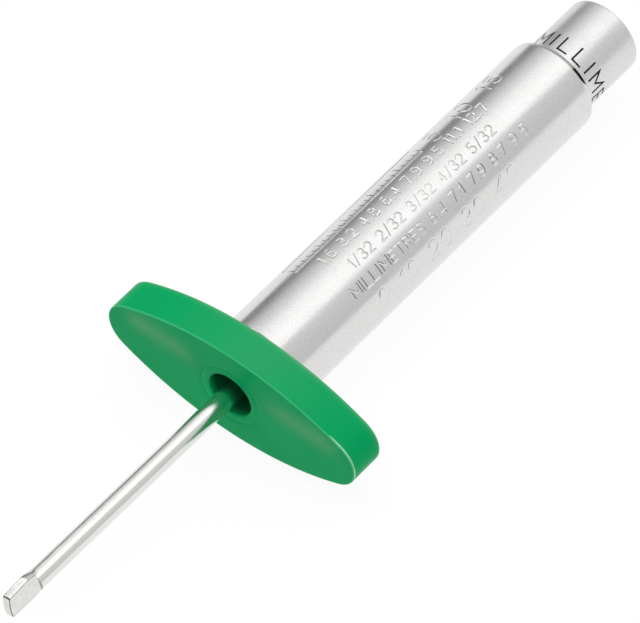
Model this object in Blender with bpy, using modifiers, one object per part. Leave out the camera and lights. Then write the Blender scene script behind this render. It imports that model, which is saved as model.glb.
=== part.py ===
"""Tyre tread depth gauge, pen sized, lying on its side.

An aluminium body tube carries a moulded oval foot at its lower end. A graduated aluminium sleeve
slides in the tube's mouth and holds a steel probe rod, whose flat blade tip comes out through the
hole in the foot. Pulling the sleeve draws the blade back until it is flush with the foot. A rubber
ring in the sleeve's carrier drags on the tube's bore and holds the reading.

Frame: +Z up, the tool's axis along Y with the blade towards -Y, the foot's long side along X.
The origin is the centre of the bounding box on the surface that the gauge lies on. Every piece is
modelled along its own +Z, measured from the foot's datum face towards the sleeve, and is parented
to an empty that turns this +Z to the world's +Y.
"""

import math

import bmesh
import bpy

MM = 0.001

# Driving dimensions.
TUBE_DIAMETER = 12.7 * MM
TUBE_WALL = 0.9 * MM
TUBE_LENGTH = 57.4 * MM
MOUTH_DIAMETER = 10.6 * MM
SLEEVE_DIAMETER = 10.4 * MM
SLEEVE_WALL = 0.8 * MM
SLEEVE_EXPOSED = 10.0 * MM
FOOT_LENGTH = 37.6 * MM
FOOT_WIDTH = 14.8 * MM
FOOT_END_RADIUS = 4.0 * MM
FOOT_THICKNESS = 5.2 * MM
FOOT_HOLE_DIAMETER = 6.3 * MM
GUIDE_LENGTH = 2.5 * MM
ROD_DIAMETER = 2.6 * MM
STROKE = 40.0 * MM
BLADE_LENGTH = 5.1 * MM
BLADE_WIDTH = 2.9 * MM
BLADE_THICKNESS = 1.1 * MM
BLADE_END_RADIUS = 2.2 * MM
BLADE_CORNER_RADIUS = 1.1 * MM
BLADE_TURN = math.radians(-15.0)

# Gaps: between faces that meet, in a pressed fit, and the rod's clearance in its guide. The cuts
# beside the blade stop a little inside its faces, so that the two shapes join.
FACE_GAP = 0.3 * MM
PRESS_GAP = 0.1 * MM
GUIDE_CLEARANCE = 0.35 * MM
BLADE_OVERLAP = 0.025 * MM

# Edges.
LIP_DEPTH = 1.4 * MM
LIP_ROUND = 0.8 * MM
LIP_INNER_ROUND = 0.3 * MM
SLEEVE_END_ROUND = 0.45 * MM
SMALL_CHAMFER = 0.25 * MM
FOOT_TOP_ROUND = 0.6 * MM
FOOT_DATUM_ROUND = 0.25 * MM

# Carrier, friction ring and end cap.
CARRIER_FLANGE_LENGTH = 7.0 * MM
CARRIER_FLANGE_GAP = 0.15 * MM
CARRIER_SHANK_LENGTH = 6.0 * MM
RING_SECTION = 1.3 * MM
RING_BORE_GAP = 0.05 * MM
CAP_LENGTH = 3.0 * MM
CAP_FLOOR = 1.0 * MM

# Zero-setting lock nut and washer on the rod's threaded end.
NUT_ACROSS_FLATS = 5.0 * MM
NUT_THICKNESS = 2.0 * MM
WASHER_DIAMETER = 5.6 * MM
WASHER_THICKNESS = 0.5 * MM
ROD_TAIL = 1.0 * MM

# Mesh fineness.
ROUND_STEPS = 64
SMALL_ROUND_STEPS = 32
RING_SECTION_STEPS = 12
ARC_STEPS = 4
BLADE_END_STEPS = 8
FOOT_SIDE_STEPS = 28
FOOT_END_STEPS = 20
FOOT_EDGE_STEPS = 3
MERGE_DISTANCE = 0.01 * MM
FLAT_ANGLE = math.radians(0.5)
SHARP_ANGLE = math.radians(45.0)
HEXAGON_SIDES = 6

# Derived radii.
TUBE_RADIUS = TUBE_DIAMETER / 2
BORE_RADIUS = TUBE_RADIUS - TUBE_WALL
MOUTH_RADIUS = MOUTH_DIAMETER / 2
SLEEVE_RADIUS = SLEEVE_DIAMETER / 2
SLEEVE_BORE_RADIUS = SLEEVE_RADIUS - SLEEVE_WALL
ROD_RADIUS = ROD_DIAMETER / 2
HOLE_RADIUS = FOOT_HOLE_DIAMETER / 2
GUIDE_RADIUS = ROD_RADIUS + GUIDE_CLEARANCE
FLANGE_RADIUS = BORE_RADIUS - CARRIER_FLANGE_GAP

# Heights along the tool's axis from the foot's datum face.
RIM_HEIGHT = FOOT_THICKNESS + TUBE_LENGTH
SLEEVE_TOP = RIM_HEIGHT + SLEEVE_EXPOSED
FLANGE_TOP = RIM_HEIGHT - LIP_DEPTH - FACE_GAP - STROKE
FLANGE_BOTTOM = FLANGE_TOP - CARRIER_FLANGE_LENGTH
SPIGOT_TOP = FLANGE_BOTTOM - FACE_GAP
SLEEVE_BOTTOM = FLANGE_TOP + FACE_GAP
CARRIER_TOP = SLEEVE_BOTTOM + CARRIER_SHANK_LENGTH
WASHER_BOTTOM = CARRIER_TOP + FACE_GAP
NUT_BOTTOM = WASHER_BOTTOM + WASHER_THICKNESS + FACE_GAP
ROD_TOP = NUT_BOTTOM + NUT_THICKNESS + ROD_TAIL
ROD_TIP = -STROKE

# Where the tool's axis lies in the world.
AXIS_HEIGHT = FOOT_WIDTH / 2
DATUM_Y = -(SLEEVE_TOP + ROD_TIP) / 2


def clear_scene():
    """Remove every object that the file starts with."""
    for item in list(bpy.data.objects):
        bpy.data.objects.remove(item, do_unlink=True)


def new_collection(name):
    """Return a new collection linked to the scene."""
    collection = bpy.data.collections.new(name)
    bpy.context.scene.collection.children.link(collection)
    return collection


def new_material(name, color, roughness, metallic):
    """Return a plain Principled material."""
    material = bpy.data.materials.new(name)
    material.use_nodes = True
    shader = material.node_tree.nodes["Principled BSDF"]
    shader.inputs["Base Color"].default_value = (*color, 1.0)
    shader.inputs["Roughness"].default_value = roughness
    shader.inputs["Metallic"].default_value = metallic
    return material


def axis_empty(name, collection, parent=None):
    """Return an empty on the tool's axis whose +Z runs from the datum face to the sleeve."""
    empty = bpy.data.objects.new(name, None)
    collection.objects.link(empty)
    if parent is None:
        empty.location = (0.0, DATUM_Y, AXIS_HEIGHT)
        empty.rotation_euler = (-math.pi / 2, 0.0, 0.0)
    else:
        empty.parent = parent
    return empty


def arc(center, radius, start, end, steps=ARC_STEPS):
    """Return the points of an arc about center, from one angle to the other in degrees."""
    points = []
    for index in range(steps + 1):
        angle = math.radians(start + (end - start) * index / steps)
        points.append((center[0] + radius * math.cos(angle), center[1] + radius * math.sin(angle)))
    return points


def link_mesh(name, mesh, collection, parent):
    """Return a new object for mesh, in collection and under parent."""
    item = bpy.data.objects.new(name, mesh)
    collection.objects.link(item)
    item.parent = parent
    return item


def set_material(item, material):
    """Give item the one material."""
    item.data.materials.clear()
    item.data.materials.append(material)


def turned(name, profile, collection, parent, closed, steps=ROUND_STEPS):
    """Turn a profile of (radius, height) points, given down the outer side, about +Z."""
    mesh = bpy.data.meshes.new(name)
    vertices = [(radius, 0.0, height) for radius, height in profile]
    edges = [(index, index + 1) for index in range(len(vertices) - 1)]
    if closed:
        edges.append((len(vertices) - 1, 0))
    mesh.from_pydata(vertices, edges, [])
    item = link_mesh(name, mesh, collection, parent)
    screw = item.modifiers.new("turn", "SCREW")
    screw.axis = "Z"
    screw.angle = math.tau
    screw.steps = steps
    screw.render_steps = steps
    screw.use_merge_vertices = True
    screw.merge_threshold = MERGE_DISTANCE
    screw.use_smooth_shade = False
    return item


def boolean(item, operand, operation):
    """Add an exact Boolean to item."""
    modifier = item.modifiers.new(operation.lower(), "BOOLEAN")
    modifier.operation = operation
    modifier.object = operand
    modifier.solver = "EXACT"


def hide_guide(item):
    """Mark a cutter or a joined shape, which is not a piece of its own."""
    item.hide_render = True
    item.display_type = "WIRE"


def flat_shape(name, outline, thickness, collection, parent):
    """Return a mesh object: a flat outline in the XY plane, extruded about its own plane."""
    curve = bpy.data.curves.new(name + "_outline", "CURVE")
    curve.dimensions = "2D"
    curve.fill_mode = "BOTH"
    curve.extrude = thickness / 2
    spline = curve.splines.new("POLY")
    spline.points.add(len(outline) - 1)
    for point, (x, y) in zip(spline.points, outline):
        point.co = (x, y, 0.0, 1.0)
    spline.use_cyclic_u = True
    return curve_to_mesh(name, curve, collection, parent)


def curve_to_mesh(name, curve, collection, parent):
    """Return a mesh object made from a filled curve, with its caps welded on."""
    drawn = bpy.data.objects.new(name + "_curve", curve)
    collection.objects.link(drawn)
    depsgraph = bpy.context.evaluated_depsgraph_get()
    mesh = bpy.data.meshes.new_from_object(drawn.evaluated_get(depsgraph))
    bpy.data.objects.remove(drawn, do_unlink=True)
    work = bmesh.new()
    work.from_mesh(mesh)
    bmesh.ops.remove_doubles(work, verts=work.verts, dist=MERGE_DISTANCE)
    bmesh.ops.recalc_face_normals(work, faces=work.faces)
    work.to_mesh(mesh)
    work.free()
    return link_mesh(name, mesh, collection, parent)


def build_body_tube(parts, parent, material):
    """The outer tube, with its mouth rolled in to guide the sleeve."""
    bottom = FOOT_THICKNESS + FACE_GAP
    lip_edge = LIP_DEPTH - LIP_INNER_ROUND
    profile = [
        *arc((MOUTH_RADIUS + LIP_INNER_ROUND, RIM_HEIGHT - LIP_INNER_ROUND), LIP_INNER_ROUND, 180, 90),
        *arc((TUBE_RADIUS - LIP_ROUND, RIM_HEIGHT - LIP_ROUND), LIP_ROUND, 90, 0),
        (TUBE_RADIUS, bottom + SMALL_CHAMFER),
        (TUBE_RADIUS - SMALL_CHAMFER, bottom),
        (BORE_RADIUS + SMALL_CHAMFER, bottom),
        (BORE_RADIUS, bottom + SMALL_CHAMFER),
        (BORE_RADIUS, RIM_HEIGHT - LIP_DEPTH),
        (MOUTH_RADIUS, RIM_HEIGHT - lip_edge),
    ]
    tube = turned("body_tube", profile, parts, parent, closed=True)
    set_material(tube, material)


def oval_outline():
    """The foot's outline: two long side arcs that run smoothly into two small end arcs."""
    half_length = FOOT_LENGTH / 2
    half_width = FOOT_WIDTH / 2
    end_center = half_length - FOOT_END_RADIUS
    spare = half_width - FOOT_END_RADIUS
    side_radius = (end_center**2 + half_width**2 - FOOT_END_RADIUS**2) / (2 * spare)
    side_center = side_radius - half_width
    join = math.degrees(math.atan2(side_center, end_center))
    right = arc((end_center, 0.0), FOOT_END_RADIUS, -join, join, FOOT_END_STEPS)
    upper = arc((0.0, -side_center), side_radius, join, 180 - join, FOOT_SIDE_STEPS)
    half = [*right, *upper[1:-1]]
    return [*half, *[(-x, -y) for x, y in half]]


def round_plate_edges(plate):
    """Round the plate's tube-side edge fully and its datum-side edge lightly."""
    mesh = plate.data
    work = bmesh.new()
    work.from_mesh(mesh)
    bmesh.ops.dissolve_limit(work, angle_limit=FLAT_ANGLE, verts=work.verts, edges=work.edges)
    weights = work.edges.layers.float.new("bevel_weight_edge")
    for edge in work.edges:
        heights = {vertex.co.z > 0.0 for vertex in edge.verts}
        if len(heights) == 1 and edge.calc_face_angle(0.0) > SHARP_ANGLE:
            edge[weights] = 1.0 if heights.pop() else FOOT_DATUM_ROUND / FOOT_TOP_ROUND
    work.to_mesh(mesh)
    work.free()
    bevel = plate.modifiers.new("edges", "BEVEL")
    bevel.limit_method = "WEIGHT"
    bevel.width = FOOT_TOP_ROUND
    bevel.segments = FOOT_EDGE_STEPS


def build_foot(parts, cutters, parent, material):
    """The moulded foot: an oval plate and a spigot pressed into the tube, with a stepped hole."""
    plate = flat_shape("foot_plate", oval_outline(), FOOT_THICKNESS, parts, parent)
    plate.location.z = FOOT_THICKNESS / 2
    round_plate_edges(plate)

    spigot_radius = BORE_RADIUS - PRESS_GAP
    inside = FOOT_THICKNESS / 2
    spigot_profile = [
        (0.0, SPIGOT_TOP),
        (spigot_radius - SMALL_CHAMFER, SPIGOT_TOP),
        (spigot_radius, SPIGOT_TOP - SMALL_CHAMFER),
        (spigot_radius, inside),
        (0.0, inside),
    ]
    spigot = turned("spigot_shape", spigot_profile, cutters, parent, closed=False)
    hide_guide(spigot)
    boolean(plate, spigot, "UNION")

    past = GUIDE_LENGTH / 2
    cone_top = SPIGOT_TOP - GUIDE_LENGTH
    hole_profile = [
        (0.0, SPIGOT_TOP + past),
        (GUIDE_RADIUS, SPIGOT_TOP + past),
        (GUIDE_RADIUS, cone_top),
        (HOLE_RADIUS, cone_top - (HOLE_RADIUS - GUIDE_RADIUS)),
        (HOLE_RADIUS, FOOT_DATUM_ROUND),
        (HOLE_RADIUS + FOOT_DATUM_ROUND, 0.0),
        (HOLE_RADIUS + FOOT_DATUM_ROUND, -past),
        (0.0, -past),
    ]
    hole = turned("hole_cutter", hole_profile, cutters, parent, closed=False)
    hide_guide(hole)
    boolean(plate, hole, "DIFFERENCE")
    set_material(plate, material)


def build_scale_sleeve(parts, parent, material):
    """The graduated sleeve, a plain tube open at both ends."""
    profile = [
        (SLEEVE_BORE_RADIUS, SLEEVE_TOP),
        *arc((SLEEVE_RADIUS - SLEEVE_END_ROUND, SLEEVE_TOP - SLEEVE_END_ROUND), SLEEVE_END_ROUND, 90, 0),
        (SLEEVE_RADIUS, SLEEVE_BOTTOM + SMALL_CHAMFER),
        (SLEEVE_RADIUS - SMALL_CHAMFER, SLEEVE_BOTTOM),
        (SLEEVE_BORE_RADIUS, SLEEVE_BOTTOM),
    ]
    sleeve = turned("scale_sleeve", profile, parts, parent, closed=True)
    set_material(sleeve, material)


def build_sleeve_end_cap(parts, parent, material):
    """The pressed-in cap that closes the sleeve's outer end."""
    outer = SLEEVE_BORE_RADIUS - PRESS_GAP
    inner = outer - SLEEVE_WALL
    bottom = SLEEVE_TOP - CAP_LENGTH
    profile = [
        (0.0, SLEEVE_TOP),
        (outer - SMALL_CHAMFER, SLEEVE_TOP),
        (outer, SLEEVE_TOP - SMALL_CHAMFER),
        (outer, bottom),
        (inner, bottom),
        (inner, SLEEVE_TOP - CAP_FLOOR),
        (0.0, SLEEVE_TOP - CAP_FLOOR),
    ]
    cap = turned("sleeve_end_cap", profile, parts, parent, closed=False)
    set_material(cap, material)


def build_probe_carrier(parts, parent, material):
    """The plug in the sleeve's inner end: it holds the rod and carries the friction ring."""
    groove_half = RING_SECTION / 2 + PRESS_GAP
    ring_height = ring_center_height()
    groove_radius = ring_center_radius() - groove_half
    shank_radius = SLEEVE_BORE_RADIUS - PRESS_GAP
    rod_hole = ROD_RADIUS + PRESS_GAP
    profile = [
        (rod_hole, CARRIER_TOP),
        (shank_radius - SMALL_CHAMFER, CARRIER_TOP),
        (shank_radius, CARRIER_TOP - SMALL_CHAMFER),
        (shank_radius, FLANGE_TOP),
        (FLANGE_RADIUS, FLANGE_TOP),
        (FLANGE_RADIUS, ring_height + groove_half),
        (groove_radius, ring_height + groove_half),
        (groove_radius, ring_height - groove_half),
        (FLANGE_RADIUS, ring_height - groove_half),
        (FLANGE_RADIUS, FLANGE_BOTTOM + SMALL_CHAMFER),
        (FLANGE_RADIUS - SMALL_CHAMFER, FLANGE_BOTTOM),
        (rod_hole, FLANGE_BOTTOM),
    ]
    carrier = turned("probe_carrier", profile, parts, parent, closed=True)
    set_material(carrier, material)


def ring_center_radius():
    """Radius of the friction ring's centre line."""
    return BORE_RADIUS - RING_BORE_GAP - RING_SECTION / 2


def ring_center_height():
    """Height of the friction ring's centre line, halfway along the carrier's flange."""
    return (FLANGE_TOP + FLANGE_BOTTOM) / 2


def build_friction_ring(parts, parent, material):
    """The rubber ring that drags on the tube's bore and holds the reading."""
    bpy.ops.mesh.primitive_torus_add(
        major_radius=ring_center_radius(),
        minor_radius=RING_SECTION / 2,
        major_segments=ROUND_STEPS,
        minor_segments=RING_SECTION_STEPS,
    )
    ring = bpy.context.object
    ring.name = "friction_ring"
    for owner in list(ring.users_collection):
        owner.objects.unlink(ring)
    parts.objects.link(ring)
    ring.parent = parent
    ring.location = (0.0, 0.0, ring_center_height())
    set_material(ring, material)


def flat_cutter_outline(side):
    """Side view of the cut beside the blade, with a curved run-out towards the rod."""
    run_out = ROD_RADIUS
    shoulder = ROD_TIP + BLADE_LENGTH
    near = side * (BLADE_THICKNESS / 2 - BLADE_OVERLAP)
    far = side * ROD_DIAMETER
    start, end = (180, 90) if side > 0 else (0, 90)
    curve = arc((near + side * run_out, shoulder - run_out), run_out, start, end)
    below = ROD_TIP - ROD_DIAMETER
    return [(near, below), *curve, (far, shoulder), (far, below)]


def blade_outline():
    """Front view of the blade: parallel sides, an arched end and rounded shoulders."""
    half = BLADE_WIDTH / 2
    sweep = math.degrees(math.asin(half / BLADE_END_RADIUS))
    end_center = (0.0, ROD_TIP + BLADE_END_RADIUS)
    end = arc(end_center, BLADE_END_RADIUS, -90 - sweep, -90 + sweep, BLADE_END_STEPS)
    inset = half - BLADE_CORNER_RADIUS
    corner_height = ROD_TIP + BLADE_LENGTH - BLADE_CORNER_RADIUS
    right = arc((inset, corner_height), BLADE_CORNER_RADIUS, 0, 90)
    left = arc((-inset, corner_height), BLADE_CORNER_RADIUS, 90, 180)
    return [*end, *right, *left]


def build_probe_rod(parts, cutters, parent, material):
    """The steel rod, coined to a flat blade at its tip and turned about the tool's axis."""
    core_end = ROD_TIP + BLADE_WIDTH / 2
    profile = [
        (0.0, ROD_TOP),
        (ROD_RADIUS - SMALL_CHAMFER, ROD_TOP),
        (ROD_RADIUS, ROD_TOP - SMALL_CHAMFER),
        (ROD_RADIUS, core_end),
        (0.0, core_end),
    ]
    rod = turned("probe_rod", profile, parts, parent, closed=False, steps=SMALL_ROUND_STEPS)
    rod.rotation_euler.z = BLADE_TURN
    for name, side in (("flat_cutter_a", 1), ("flat_cutter_b", -1)):
        cutter = flat_shape(name, flat_cutter_outline(side), ROD_DIAMETER * 2, cutters, rod)
        cutter.rotation_euler.x = math.pi / 2
        hide_guide(cutter)
        boolean(rod, cutter, "DIFFERENCE")
    blade = flat_shape("blade_shape", blade_outline(), BLADE_THICKNESS, cutters, rod)
    blade.rotation_euler = (math.pi / 2, 0.0, math.pi / 2)
    hide_guide(blade)
    boolean(rod, blade, "UNION")
    set_material(rod, material)


def build_lock_washer(parts, parent, material):
    """The washer under the lock nut."""
    hole = ROD_RADIUS + PRESS_GAP
    top = WASHER_BOTTOM + WASHER_THICKNESS
    profile = [
        (hole, top),
        (WASHER_DIAMETER / 2, top),
        (WASHER_DIAMETER / 2, WASHER_BOTTOM),
        (hole, WASHER_BOTTOM),
    ]
    washer = turned("lock_washer", profile, parts, parent, closed=True, steps=SMALL_ROUND_STEPS)
    set_material(washer, material)


def build_lock_nut(parts, cutters, parent, material):
    """The hexagon nut that locks the rod where its blade reads zero."""
    corner_radius = NUT_ACROSS_FLATS / 2 / math.cos(math.pi / HEXAGON_SIDES)
    mesh = bpy.data.meshes.new("lock_nut")
    work = bmesh.new()
    bmesh.ops.create_cone(
        work,
        cap_ends=True,
        segments=HEXAGON_SIDES,
        radius1=corner_radius,
        radius2=corner_radius,
        depth=NUT_THICKNESS,
    )
    work.to_mesh(mesh)
    work.free()
    nut = link_mesh("lock_nut", mesh, parts, parent)
    nut.location.z = NUT_BOTTOM + NUT_THICKNESS / 2
    hole = ROD_RADIUS + PRESS_GAP
    profile = [
        (0.0, ROD_TOP),
        (hole, ROD_TOP),
        (hole, WASHER_BOTTOM),
        (0.0, WASHER_BOTTOM),
    ]
    cutter = turned("nut_cutter", profile, cutters, parent, closed=False, steps=SMALL_ROUND_STEPS)
    hide_guide(cutter)
    boolean(nut, cutter, "DIFFERENCE")
    set_material(nut, material)


def main():
    """Build the whole gauge."""
    clear_scene()
    parts = new_collection("tread_depth_gauge")
    cutters = new_collection("cutters")
    body = axis_empty("body_axis", parts)
    drag = axis_empty("slide_axis", parts, body)
    slider = axis_empty("spin_axis", parts, drag)

    tube_aluminium = new_material("tube_aluminium", (0.80, 0.80, 0.79), 0.22, 1.0)
    sleeve_aluminium = new_material("sleeve_aluminium", (0.78, 0.78, 0.77), 0.28, 1.0)
    foot_plastic = new_material("foot_plastic", (0.01, 0.36, 0.11), 0.35, 0.0)
    probe_steel = new_material("probe_steel", (0.72, 0.73, 0.71), 0.25, 1.0)
    carrier_nylon = new_material("carrier_nylon", (0.55, 0.54, 0.50), 0.50, 0.0)
    ring_rubber = new_material("ring_rubber", (0.02, 0.02, 0.02), 0.70, 0.0)
    fastener_steel = new_material("fastener_steel", (0.60, 0.60, 0.58), 0.35, 1.0)

    build_body_tube(parts, body, tube_aluminium)
    build_foot(parts, cutters, body, foot_plastic)
    build_friction_ring(parts, drag, ring_rubber)
    build_scale_sleeve(parts, slider, sleeve_aluminium)
    build_sleeve_end_cap(parts, slider, sleeve_aluminium)
    build_probe_carrier(parts, slider, carrier_nylon)
    build_probe_rod(parts, cutters, slider, probe_steel)
    build_lock_washer(parts, slider, fastener_steel)
    build_lock_nut(parts, cutters, slider, fastener_steel)


main()
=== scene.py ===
"""Looks of the tyre tread depth gauge: meshes, stamped and printed marks, materials and studio.

Row frame: +Z up, the tool's axis along Y with the blade towards -Y. Points on the round pieces are
given by radius, bearing (the angle about the axis, from +Z towards +X) and height (the distance
along +Y from the foot's datum face).
"""

import math

import bpy
import numpy as np
from mathutils import Matrix, Vector


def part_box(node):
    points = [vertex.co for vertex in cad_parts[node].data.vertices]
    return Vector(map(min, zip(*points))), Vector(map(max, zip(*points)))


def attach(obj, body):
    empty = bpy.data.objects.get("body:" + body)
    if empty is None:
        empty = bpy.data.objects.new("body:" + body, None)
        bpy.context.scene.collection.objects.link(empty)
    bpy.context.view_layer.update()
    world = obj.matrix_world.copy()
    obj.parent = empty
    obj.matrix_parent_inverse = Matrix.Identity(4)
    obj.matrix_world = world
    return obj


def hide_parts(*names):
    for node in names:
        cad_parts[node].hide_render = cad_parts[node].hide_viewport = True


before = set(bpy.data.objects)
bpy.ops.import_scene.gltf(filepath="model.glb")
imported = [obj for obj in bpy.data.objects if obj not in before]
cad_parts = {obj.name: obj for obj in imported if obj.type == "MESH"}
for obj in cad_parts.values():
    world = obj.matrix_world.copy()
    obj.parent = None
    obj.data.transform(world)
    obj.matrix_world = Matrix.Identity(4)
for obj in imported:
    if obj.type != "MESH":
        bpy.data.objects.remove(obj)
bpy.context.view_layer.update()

MM = 0.001

# Places read from the CAD frame.
TUBE_LOW, TUBE_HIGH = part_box("body_tube")
FOOT_LOW, FOOT_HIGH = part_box("foot_plate")
SLEEVE_LOW, SLEEVE_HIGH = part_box("scale_sleeve")
ROD_LOW, ROD_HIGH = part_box("probe_rod")
CAP_LOW, CAP_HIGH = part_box("sleeve_end_cap")
AXIS_Z = (TUBE_LOW.z + TUBE_HIGH.z) / 2
DATUM_Y = FOOT_LOW.y
TUBE_BOTTOM = TUBE_LOW.y - DATUM_Y
RIM = TUBE_HIGH.y - DATUM_Y
SPIGOT_TOP = FOOT_HIGH.y - DATUM_Y
SLEEVE_BOTTOM = SLEEVE_LOW.y - DATUM_Y
SLEEVE_TOP = SLEEVE_HIGH.y - DATUM_Y
ROD_TIP = ROD_LOW.y - DATUM_Y
ROD_TOP = ROD_HIGH.y - DATUM_Y
CAP_BOTTOM = CAP_LOW.y - DATUM_Y
TUBE_RADIUS = (TUBE_HIGH.x - TUBE_LOW.x) / 2
SLEEVE_RADIUS = (SLEEVE_HIGH.x - SLEEVE_LOW.x) / 2
ROD_RADIUS = (ROD_HIGH.x - ROD_LOW.x) / 2
CAP_RADIUS = (CAP_HIGH.x - CAP_LOW.x) / 2
FOOT_HALF_LENGTH = (FOOT_HIGH.x - FOOT_LOW.x) / 2
FOOT_HALF_WIDTH = (FOOT_HIGH.z - FOOT_LOW.z) / 2

# Sizes that the frame's boxes don't give.
FACE_GAP = 0.3 * MM
SMALL_ROUND = 0.2 * MM

# Edges that turn further than this are shaded sharp, unless a piece sets its own limit.
SHARP_DEGREES = 35.0

# Tube. It has plain rings below and above the stamped stretch, and plain columns beside it.
TUBE_WALL = 0.9 * MM
BORE_RADIUS = TUBE_RADIUS - TUBE_WALL
MOUTH_RADIUS = 5.3 * MM
LIP_DEPTH = 1.4 * MM
LIP_ROUND = 1.1 * MM
LIP_INNER_ROUND = 0.2 * MM
LIP_STEPS = 36
BELOW_RINGS = 12
ABOVE_RINGS = 8
PLAIN_COLUMNS = 90

# Painted dark reflection and shade on the lip, in degrees: bearings from MARKS_BEARING, and slopes
# of the lip's round.
GREY_REFLECTION_STRENGTH = 0.48
GREY_REFLECTION_START = -170.0
GREY_REFLECTION_FULL = -120.0
BLACK_REFLECTION_START = 6.0
BLACK_REFLECTION_START_FADE = 5.0
BLACK_REFLECTION_FULL = 18.0
BLACK_REFLECTION_END = 30.0
BLACK_REFLECTION_RISE = 3.0
DARK_SLOPE = 11.0
DARK_SLOPE_FADE = 4.0

# Foot. The ring counts follow its surface from the guide down the hole and around the outside.
FOOT_TOP = TUBE_BOTTOM - FACE_GAP
FOOT_END_RADIUS = 4.0 * MM
FOOT_TOP_ROUND = 0.6 * MM
FOOT_TOP_ROUND_STEPS = 12
FOOT_DATUM_ROUND = 0.25 * MM
FOOT_HOLE_RADIUS = 3.15 * MM
SPIGOT_RADIUS = BORE_RADIUS - 0.1 * MM
GUIDE_RADIUS = ROD_RADIUS + 0.35 * MM
GUIDE_LENGTH = 2.5 * MM
GATE_RING_RADIUS = 4.35 * MM
GATE_RING_HALF = 0.3 * MM
GATE_RING_DEPTH = 0.06 * MM
GUIDE_RINGS = 5
HOLE_RINGS = 12
GATE_RINGS = 13
DATUM_FACE_RINGS = 14
SIDE_RINGS = 16
TOP_FACE_RINGS = 10
SPIGOT_RINGS = 6
OVAL_END_STEPS = 40
OVAL_SIDE_STEPS = 90

# Foot's painted light, where each mark fades: a highlight on the datum edge, a glint at one end,
# shade in the hole and sheen patches. A range goes from none to full, a band back to none too.
EDGE_HIGHLIGHT_HEIGHT_BAND = (0.0, 0.05 * MM, 0.15 * MM, 0.3 * MM)
EDGE_HIGHLIGHT_RADIUS_RANGE = (5.5 * MM, 6.0 * MM)
GLINT_HEIGHT_BAND = (0.14 * MM, 0.22 * MM, 0.28 * MM, 0.38 * MM)
GLINT_X_RANGE = (14.8 * MM, 15.4 * MM)
GLINT_Z_RANGE = (-1.6 * MM, -0.4 * MM)
BORE_SHADE_RADIUS_RANGE = (3.3 * MM, 3.1 * MM)
BORE_SHADE_HEIGHT_RANGE = (0.0, 1.2 * MM)
SHEEN_Z = 2.6 * MM
SHEEN_Z_SPREAD = 1.6 * MM
SHEEN_X_BAND = (4.0 * MM, 8.5 * MM, 13.5 * MM, 17.5 * MM)
SHEEN_HEIGHT_RANGE = (0.3 * MM, 0.0)
WALL_SHEEN = 0.3
WALL_SHEEN_X = 2.0 * MM
WALL_SHEEN_X_SPREAD = 9.0 * MM
WALL_SHEEN_HEIGHT_RANGE = (0.25 * MM, 0.4 * MM)
TOP_SHEEN = 0.8
TOP_SHEEN_HEIGHT_BAND = (FOOT_TOP - 0.7 * MM, FOOT_TOP - 0.4 * MM, FOOT_TOP - 0.1 * MM, FOOT_TOP)

# Sleeve and end cap.
TURNED_STEPS = 256
SLEEVE_WALL = 0.8 * MM
SLEEVE_END_ROUND = 0.45 * MM
SLEEVE_END_STEPS = 14
SLEEVE_WALL_RINGS = 30
CAP_WALL = 0.8 * MM
CAP_FLOOR = 1.0 * MM
CAP_RIM = 0.5 * MM
CAP_DISH_DEPTH = 0.25 * MM
CAP_POLE_RADIUS = 0.05 * MM

# Rod and blade. Ring counts go up from the end face, whose first ring is a share of its thickness.
BLADE_LENGTH = 4.8 * MM
BLADE_SIDE_LENGTH = 5.3 * MM
BLADE_HALF_WIDTH = 1.45 * MM
BLADE_SIDE_BULGE = 0.06 * MM
BLADE_HALF_THICKNESS = 0.55 * MM
BLADE_END_RADIUS = 4.4 * MM
BLADE_END_OFFSET = 0.47 * MM
BLADE_END_BEVEL = 0.07 * MM
END_START = 0.04
BLADE_RUN_OUT = 0.55 * MM
BLADE_FLARE = 2.1 * MM
BLADE_TAPER = math.tan(math.radians(4.2))
BLADE_TAPER_MIDDLE = 1.8 * MM
BLADE_BEARING = math.radians(75.0)
BLADE_COLUMNS = 160
END_RINGS = 16
ARCH_RINGS = 15
FACE_RINGS = 70
RUN_OUT_RINGS = 24
SHOULDER_RINGS = 20
ROUND_ROD_RINGS = 50
ROD_LEAN = math.tan(math.radians(0.23))
ROD_LEAN_BEARING = math.radians(-63.8)
ROD_LEAN_FROM = 20.0 * MM

# Painted shade on the blade: along its corners, and in the crease around the coined part, which
# climbs most at CREASE_TURN around the section and opposite it.
CREASE_HALF = 0.04 * MM
CREASE_MARGIN = 4 * CREASE_HALF
CREASE_SHADE = 0.7
CREASE_TURN = math.radians(22.5)
CREASE_TURN_RANGE = (0.2, 0.9)
CORNER_SHADE_WIDTH = 0.1 * MM

# Bearing of the stamped and printed marks' middle.
MARKS_BEARING = math.radians(26.2)

# Stamped grooves in a fine grid of the tube's wall. Their depth changes in slow waves.
GROOVE_HALF = 0.115 * MM
GROOVE_FLOOR_HALF = 0.025 * MM
GROOVE_DEPTH = 0.08 * MM
GROOVE_REACH = 1.5 * GROOVE_HALF
GROOVE_GRID = 0.06 * MM
PRESS_CHANGE = 0.2
PRESS_WAVE_ALONG = 3.1 * MM
PRESS_WAVE_ACROSS = 2.3 * MM
STAMPED_FROM = 15.5 * MM
STAMPED_TO = 56.0 * MM
STAMPED_BEARING_FROM = math.radians(-80.0)
STAMPED_BEARING_TO = math.radians(62.0)

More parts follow.
